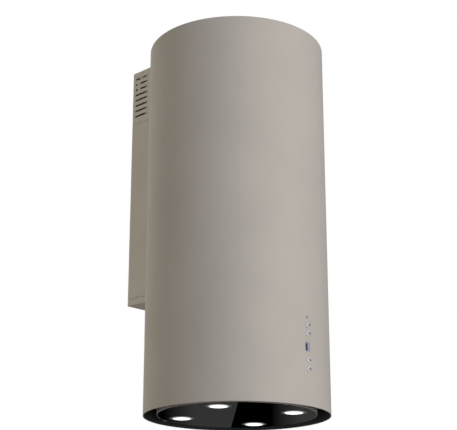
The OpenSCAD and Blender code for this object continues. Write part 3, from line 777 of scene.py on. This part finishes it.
# ---------------------------------------------------------------- stage, light and camera
# The photograph's view is turned this far from straight in front
VIEW_TURN = math.radians(46.5)
TOWARDS = Vector((math.sin(VIEW_TURN), math.cos(VIEW_TURN), 0))
RIGHTWARDS = Vector((math.cos(VIEW_TURN), -math.sin(VIEW_TURN), 0))


def around(angle, distance, height):
    """A point round the tube's axis, that high above the rim.

    Angle 0 is towards the camera, and the angle grows to the camera's right.
    """
    a = math.radians(angle)
    outward = RIGHTWARDS * math.sin(a) - TOWARDS * math.cos(a)
    return AXIS + Vector((0, 0, RIM_Z + height)) + outward * distance


def soft_light(name, angle, distance, height, width, tall, power, tint=(1, 1, 1)):
    """A soft box aimed at the middle of the tube. It doesn't show in mirror surfaces."""
    aim_height = 0.4
    data = bpy.data.lights.new(name, "AREA")
    data.shape = "RECTANGLE"
    data.size, data.size_y = width, tall
    data.energy = power
    data.color = tint
    lamp = bpy.data.objects.new(name, data)
    bpy.context.scene.collection.objects.link(lamp)
    lamp.location = around(angle, distance, height)
    aim = AXIS + Vector((0, 0, RIM_Z + aim_height)) - lamp.location
    lamp.rotation_euler = aim.to_track_quat("-Z", "Y").to_euler()
    lamp.visible_camera = False
    lamp.visible_glossy = False
    return lamp


soft_light("key_light", 40, 3.6, 0.5, 1.6, 3.0, 137, (0.947, 0.955, 1.0))
soft_light("fill_light", -102, 3.6, 0.4, 1.6, 3.0, 66, (1.0, 0.929, 0.807))
soft_light("top_light", 40, 0.5, 4.0, 1.6, 1.6, 60)


def studio_world():
    """A white studio to the camera, with dim light of its own and a plainer image for mirror surfaces."""
    world = bpy.data.worlds.new("studio")
    bpy.context.scene.world = world
    world.use_nodes = True
    tree = world.node_tree
    tree.nodes.clear()
    output = tree.nodes.new("ShaderNodeOutputWorld")
    path = tree.nodes.new("ShaderNodeLightPath")
    place = tree.nodes.new("ShaderNodeTexCoord")
    split = tree.nodes.new("ShaderNodeSeparateXYZ")
    tree.links.new(place.outputs["Generated"], split.inputs[0])

    def backdrop():
        """A white background of strength 1."""
        node = tree.nodes.new("ShaderNodeBackground")
        node.inputs[0].default_value = (1, 1, 1, 1)
        node.inputs[1].default_value = 1
        return node

    def towards(direction):
        """1 in that direction, 0 across it."""
        node = tree.nodes.new("ShaderNodeVectorMath")
        node.operation = "DOT_PRODUCT"
        tree.links.new(place.outputs["Generated"], node.inputs[0])
        node.inputs[1].default_value = direction
        return node.outputs["Value"]

    def mix_by(value, start, end, first, second):
        """A colour that goes from the first to the second as the value goes from start to end."""
        node = tree.nodes.new("ShaderNodeMapRange")
        node.inputs["From Min"].default_value = start
        node.inputs["From Max"].default_value = end
        tree.links.new(value, node.inputs["Value"])
        mix = tree.nodes.new("ShaderNodeMixRGB")
        for socket, colour in ((mix.inputs[1], first), (mix.inputs[2], second)):
            if isinstance(colour, tuple):
                socket.default_value = (*colour, 1)
            else:
                tree.links.new(colour, socket)
        tree.links.new(node.outputs[0], mix.inputs[0])
        return mix.outputs[0]

    def shining(colour):
        """A background of that colour."""
        glow = backdrop()
        tree.links.new(colour, glow.inputs[0])
        return glow

    def choose(factor, first, second):
        """The first where the factor is 0, the second where it is 1."""
        node = tree.nodes.new("ShaderNodeMixShader")
        tree.links.new(factor, node.inputs[0])
        tree.links.new(first.outputs[0], node.inputs[1])
        tree.links.new(second.outputs[0], node.inputs[2])
        return node

    height = split.outputs["Z"]
    black = (0.0, 0.0, 0.0)
    ambient = shining(mix_by(height, -0.12, 0.10, (0.26, 0.256, 0.248), (0.06, 0.06, 0.06)))
    above = mix_by(towards(RIGHTWARDS), 0.35, 0.85, (0.68, 0.68, 0.71), (0.14, 0.14, 0.15))
    below = mix_by(towards(TOWARDS), 0.55, 0.80, (0.78, 0.78, 0.81), black)
    level = mix_by(height, -0.25, -0.05, below, (0.40, 0.40, 0.45))
    level = mix_by(towards(TOWARDS), 0.55, 0.80, level, black)
    mirrored = shining(mix_by(height, 0.02, 0.25, level, above))
    lit = choose(path.outputs["Is Glossy Ray"], ambient, mirrored)
    seen = choose(path.outputs["Is Camera Ray"], lit, backdrop())
    tree.links.new(seen.outputs[0], output.inputs[0])


studio_world()


def studio_floor():
    """A pale floor, seen only from above, so a camera below it still looks up at the hood."""
    below_rim = 2.0
    bm = bmesh.new()
    bmesh.ops.create_circle(bm, cap_ends=True, radius=60, segments=96)
    floor = mesh_object("floor", bm)
    floor.location = AXIS + Vector((0, 0, RIM_Z - below_rim))
    s = Surface("floor_surface", (0.20, 0.20, 0.20), roughness=0.9, specular=0.0)
    s.colour(s.noise(0.8, 2), (0.19, 0.19, 0.19), (0.21, 0.21, 0.21))
    s.shader.inputs["Emission Color"].default_value = (0.80, 0.80, 0.80, 1)
    s.shader.inputs["Emission Strength"].default_value = 1.06
    clear = s.add("ShaderNodeBsdfTransparent")
    mix = s.add("ShaderNodeMixShader")
    s.link(s.add("ShaderNodeNewGeometry").outputs["Backfacing"], mix.inputs[0])
    s.link(s.shader.outputs[0], mix.inputs[1])
    s.link(clear.outputs[0], mix.inputs[2])
    s.link(mix.outputs[0], s.output.inputs[0])
    floor.data.materials.append(s.material)
    floor.visible_glossy = False
    floor.visible_diffuse = False


studio_floor()


def reflection_card(name, corners, fade):
    """A dim panel beyond the hood, which only mirror surfaces show.

    Each corner is (sideways, up) from the rim's centre, and the fade is (sideways, brightness).
    """
    far = 3.0
    centre = AXIS + TOWARDS * far + UP * RIM_Z
    bm = bmesh.new()
    bm.faces.new([bm.verts.new(centre + RIGHTWARDS * x + UP * z) for x, z in corners])
    card = mesh_object(name, bm, smooth=False)
    s = Surface(name + "_surface", (0, 0, 0), roughness=1.0, specular=0.0)
    across = s.add("ShaderNodeVectorMath", operation="DOT_PRODUCT")
    s.link(s.place, across.inputs[0])
    across.inputs[1].default_value = RIGHTWARDS
    middle = AXIS.dot(RIGHTWARDS)
    brightness = [(middle + x, value) for x, value in fade]
    glow = s.add("ShaderNodeEmission")
    s.link(s.profile(across.outputs["Value"], brightness), glow.inputs["Strength"])
    s.link(glow.outputs[0], s.output.inputs[0])
    card.data.materials.append(s.material)
    card.visible_camera = False
    card.visible_diffuse = False
    card.visible_shadow = False
    card.visible_transmission = False


CARD_LOW, CARD_HIGH = -0.9, -0.1
reflection_card("card_left",
                [(-0.9, CARD_LOW), (0.102, CARD_LOW), (-0.127, CARD_HIGH), (-0.9, CARD_HIGH)],
                [(-0.34, 0.0), (-0.20, 0.075)])
reflection_card("card_right",
                [(0.15, CARD_LOW), (0.8, CARD_LOW), (0.8, CARD_HIGH), (0.15, CARD_HIGH)],
                [(0.15, 0.0), (0.29, 0.085)])


def photo_camera():
    """Stands at the front left and below the rim, and looks up at the hood."""
    distance = 13 * TUBE_R
    below_rim = 2.073 * TUBE_R
    beside = 0.11
    pitch = math.radians(18.44)
    yaw = math.radians(-0.51)
    data = bpy.data.cameras.new("camera")
    data.sensor_width = 36
    data.lens = 96.302
    camera = bpy.data.objects.new("camera", data)
    bpy.context.scene.collection.objects.link(camera)
    camera.location = around(beside, distance, -below_rim)
    level = TOWARDS * math.cos(yaw) + RIGHTWARDS * math.sin(yaw)
    forward = level * math.cos(pitch) + Vector((0, 0, math.sin(pitch)))
    camera.rotation_mode = "QUATERNION"
    camera.rotation_quaternion = forward.to_track_quat("-Z", "Y")
    data.clip_start, data.clip_end = 0.05, 200
    bpy.context.scene.camera = camera


photo_camera()
bpy.context.scene.view_settings.view_transform = "Standard"
